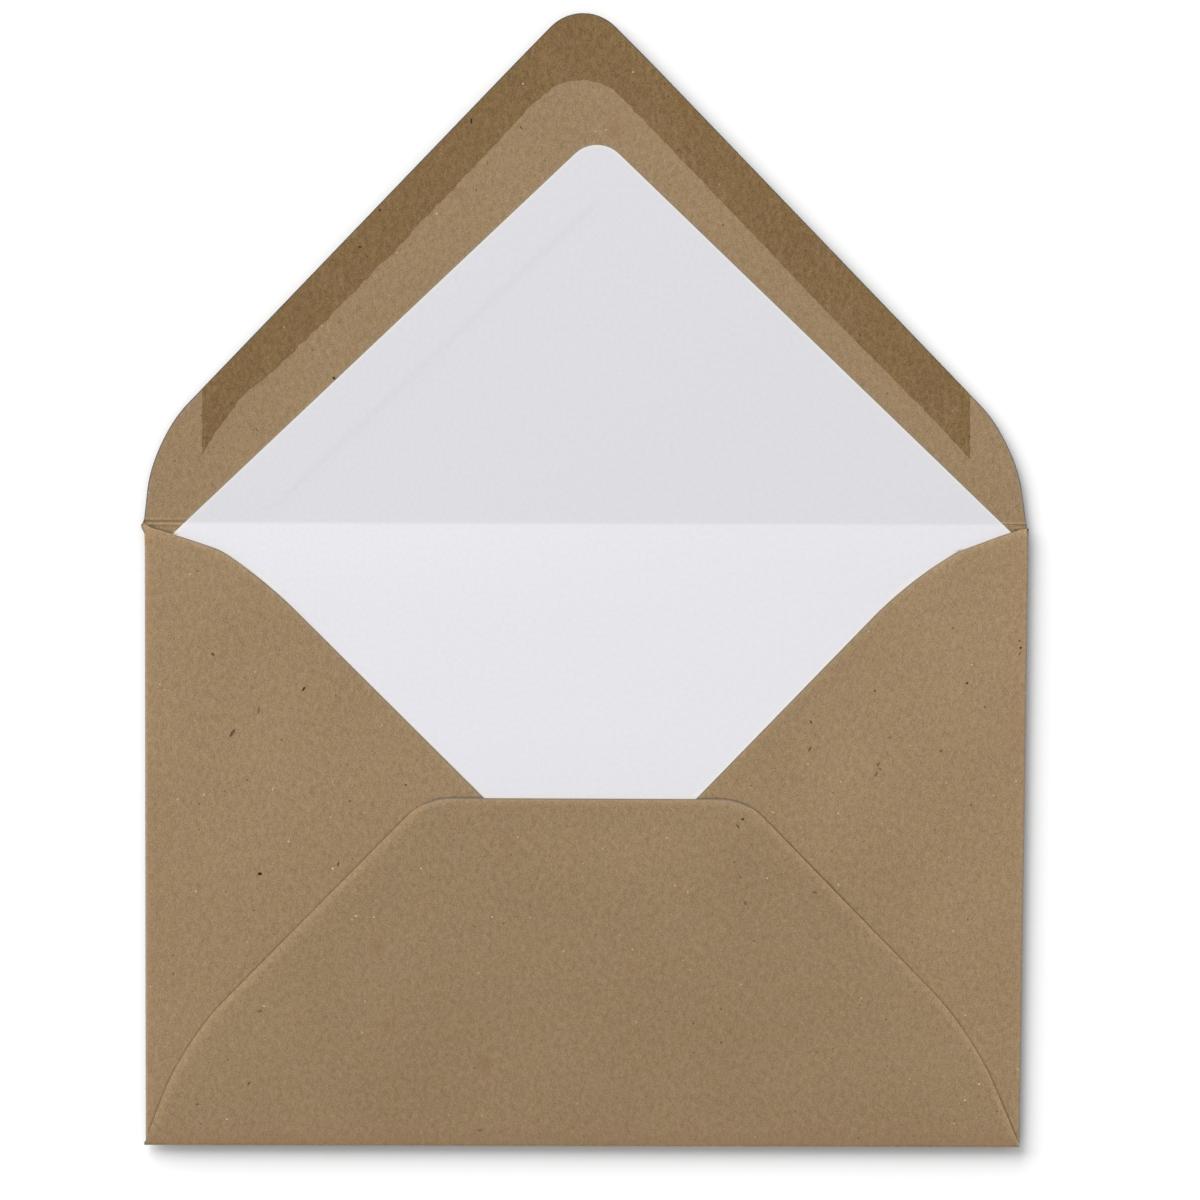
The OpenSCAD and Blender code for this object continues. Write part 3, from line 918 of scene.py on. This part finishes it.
def kraftCut():
    # Die-cut edge of the same kraft: the opened core is paler and rougher than the face
    material, tree, shader = newMaterial("kraftCutEdge", {"Roughness": 0.95, "Specular IOR Level": 0.2})
    flat = addNode(tree, "UVMap", {"uv_map": "sheet"}).outputs[0]
    fibre = addNode(tree, "TexNoise", {"Scale": perMm(0.5), "Detail": 2}, {"Vector": flat})
    tint = addNode(tree, "Mix", {"data_type": "RGBA", 6: colour("8F7855"), 7: colour("A48C68")},
                   {0: fibre.outputs[0]})
    tree.links.new(tint.outputs[2], shader.inputs["Base Color"])
    return material


gumTint = {"thick": "D3C8AE", "thin": "F4EFE6", "mostThin": 0.24}


def gumFilm():
    # Remoistenable gum rolled on the kraft and dried: it darkens the fibres in streaks and stays dull
    material, tree, shader = newMaterial("driedGum", {"Roughness": 0.7, "Specular IOR Level": 0.22})
    flat = addNode(tree, "UVMap", {"uv_map": "sheet"}).outputs[0]
    tint, height = kraftColour(tree, flat, kraft["contrast"]["gummed"])
    drawn = addNode(tree, "Mapping", {"Scale": (1, 0.16, 1)}, {"Vector": flat})
    streak = addNode(tree, "TexNoise", {"noise_dimensions": "2D", "Scale": perMm(1.1), "Detail": 1},
                     {"Vector": drawn.outputs[0]})
    patch = addNode(tree, "TexNoise", {"noise_dimensions": "2D", "Scale": perMm(9.0), "Detail": 1},
                    {"Vector": flat})
    both = addNode(tree, "Math", {"operation": "MULTIPLY"}, {0: streak.outputs[0], 1: patch.outputs[0]})
    thin = addNode(tree, "MapRange", {"From Min": 0.26, "From Max": 0.42, "To Max": gumTint["mostThin"]},
                   {"Value": both.outputs[0]})
    film = addNode(tree, "Mix", {
        "data_type": "RGBA", 6: colour(gumTint["thick"]), 7: colour(gumTint["thin"])}, {0: thin.outputs[0]})
    wet = addNode(tree, "Mix", {"data_type": "RGBA", "blend_type": "MULTIPLY", 0: 1.0},
                  {6: tint, 7: film.outputs[2]})
    bump = addNode(tree, "Bump", {"Strength": 0.3, "Distance": 0.02*mm}, {"Height": height})
    tree.links.new(wet.outputs[2], shader.inputs["Base Color"])
    tree.links.new(bump.outputs[0], shader.inputs["Normal"])
    return material


wove = {
    "dark": "D8D7DC", "pale": "E0DFE5", "felt": 0.8,
    # what the white turns to beside the kraft and how much, and the strength of the painted shadow beside
    # the kraft's top edges
    "cut": {"beside": "EFE9D8", "grey": 0.6, "rim": 0, "seam": 0.5},
}


def linerPaper():
    # Smooth wood-free wove paper, calendered: even cool white, dull
    material, tree, shader = newMaterial("whiteWove", {"Roughness": 0.8, "Specular IOR Level": 0.3})
    flat = addNode(tree, "UVMap", {"uv_map": "sheet"}).outputs[0]
    felt = addNode(tree, "TexNoise", {
        "noise_dimensions": "2D", "Scale": perMm(wove["felt"]), "Detail": 2, "Roughness": 0.5},
        {"Vector": flat})
    tint = addNode(tree, "Mix", {"data_type": "RGBA", 6: colour(wove["dark"]), 7: colour(wove["pale"])},
                   {0: felt.outputs[0]})
    tree.links.new(toned(tree, tint.outputs[2], wove["cut"]), shader.inputs["Base Color"])
    return material


def sliverWood(kind):
    # Bits of bark, bast and bleached fibre in recycled pulp: dull, each a single tone
    tones = {"dark": "352210", "brown": "614B31", "faint": "735D40", "pale": "BEAA88"}
    material, tree, shader = newMaterial(kind + "Bast", {"Roughness": 0.9, "Specular IOR Level": 0.2})
    shader.inputs["Base Color"].default_value = colour(tones[kind])
    return material


def pasteFilm():
    # Dried white paste, hidden between the sheets: thin, dull and a little uneven
    material, tree, shader = newMaterial("driedPaste", {"Roughness": 0.5, "Specular IOR Level": 0.4})
    place = addNode(tree, "TexCoord", {}).outputs["Object"]
    patch = addNode(tree, "TexNoise", {"Scale": perMm(2.0), "Detail": 2}, {"Vector": place})
    tint = addNode(tree, "Mix", {"data_type": "RGBA", 6: colour("D6CDB6"), 7: colour("E2DAC6")},
                   {0: patch.outputs[0]})
    tree.links.new(tint.outputs[2], shader.inputs["Base Color"])
    return material


# Pieces

kraftSheet = buildBlank()
linerSheet = buildLiner()
gumBand = buildGum()
pasteStrip = buildPaste()
driedPaste = pasteFilm()
for sheet, skins in (
        (kraftSheet, (kraftPaper(), kraftCut())), (linerSheet, [linerPaper()]*2),
        (gumBand, [gumFilm()]*2), (pasteStrip, [driedPaste]*2)):
    for skin in skins:
        sheet.data.materials.append(skin)
heightAt = skinBelow([kraftSheet, gumBand])
for kind in slivers:
    chips = buildSlivers(kind, heightAt)
    wood = sliverWood(kind)
    for k in range(2):
        chips.data.materials.append(wood)
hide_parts("envelope_blank")
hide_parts("liner")
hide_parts("seal_gum")
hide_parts("liner_gum")
for name in ("seam_gum_left", "seam_gum_right"):
    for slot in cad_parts[name].material_slots:
        slot.material = driedPaste
print("materials set")


# Ground, lights and camera

def seenDirectly(tree):  # 1 for what the camera sees, straight or in a gloss, 0 for light that bounces
    ray = addNode(tree, "LightPath", {})
    return addNode(tree, "Math", {"operation": "MAXIMUM"},
                   {0: ray.outputs["Is Camera Ray"], 1: ray.outputs["Is Glossy Ray"]}).outputs[0]


# Metres across, mm below the part, and the ground's white as the camera and as bounced light find it
stage = {"size": 6.0, "drop": 1.6, "white": 1.0, "dull": 0.15}
# Shares of a white sheet's light from the room and from a broad low window, whose angles are in degrees
light = {"sky": 0.52, "key": 0.525, "elevation": 17.5, "azimuth": 128, "spread": 74}
photo = {"size": 1200, "perMm": 4.9875, "zero": (584.19, 834.2), "roll": 0.0026, "distance": 4.0}

groundMesh = bpy.data.meshes.new("ground")
bm = bmesh.new()
bmesh.ops.create_grid(bm, x_segments=1, y_segments=1, size=stage["size"]/2)
bmesh.ops.translate(bm, vec=(0, 0, -stage["drop"]*mm), verts=bm.verts)
bm.to_mesh(groundMesh)
bm.free()
ground = bpy.data.objects.new("ground", groundMesh)
bpy.context.scene.collection.objects.link(ground)
# A white paper sweep, dead matt; it bounces little light, so the shadow close to the paper stays deep
groundMaterial, tree, shader = newMaterial("whiteGround", {"Roughness": 1.0, "Specular IOR Level": 0.0})
shown = addNode(tree, "Mix", {"data_type": "RGBA", 6: [stage["dull"]]*3 + [1], 7: [stage["white"]]*3 + [1]},
                {0: seenDirectly(tree)})
tree.links.new(shown.outputs[2], shader.inputs["Base Color"])
groundMesh.materials.append(groundMaterial)

world = bpy.data.worlds.new("softRoom")
bpy.context.scene.world = world
world.use_nodes = True
tree = world.node_tree
level = addNode(tree, "MapRange", {"To Min": light["sky"], "To Max": 1.0}, {"Value": seenDirectly(tree)})
background = tree.nodes["Background"]
background.inputs["Color"].default_value = (1, 1, 1, 1)
tree.links.new(level.outputs[0], background.inputs["Strength"])

lamp = bpy.data.lights.new("keyWindow", "SUN")
lamp.energy = light["key"]*pi/sin(radians(light["elevation"]))
lamp.angle = radians(light["spread"])
key = bpy.data.objects.new("keyWindow", lamp)
bpy.context.scene.collection.objects.link(key)
tilt, turn = radians(light["elevation"]), radians(light["azimuth"])
toLamp = Vector((cos(tilt)*cos(turn), cos(tilt)*sin(turn), sin(tilt)))
key.rotation_euler = toLamp.to_track_quat("Z", "Y").to_euler()

# The photo looks straight down; its middle and its small turn come from the outline's fit
u, v = ((photo["size"]/2 - zero)/photo["perMm"] for zero in photo["zero"])
centreX = (u + photo["roll"]*v)/(1 + photo["roll"]**2)
centreY = photo["roll"]*centreX - v
cameraData = bpy.data.cameras.new("copyStand")
cameraData.sensor_width = 36
cameraData.lens = 36*photo["distance"]/(photo["size"]/photo["perMm"]*mm)
cameraData.clip_end = 100
camera = bpy.data.objects.new("copyStand", cameraData)
bpy.context.scene.collection.objects.link(camera)
camera.location = (centreX*mm, centreY*mm, photo["distance"])
camera.rotation_euler = (0, 0, photo["roll"])
bpy.context.scene.camera = camera
bpy.context.scene.view_settings.view_transform = "Standard"
print("stage, lights and camera set")
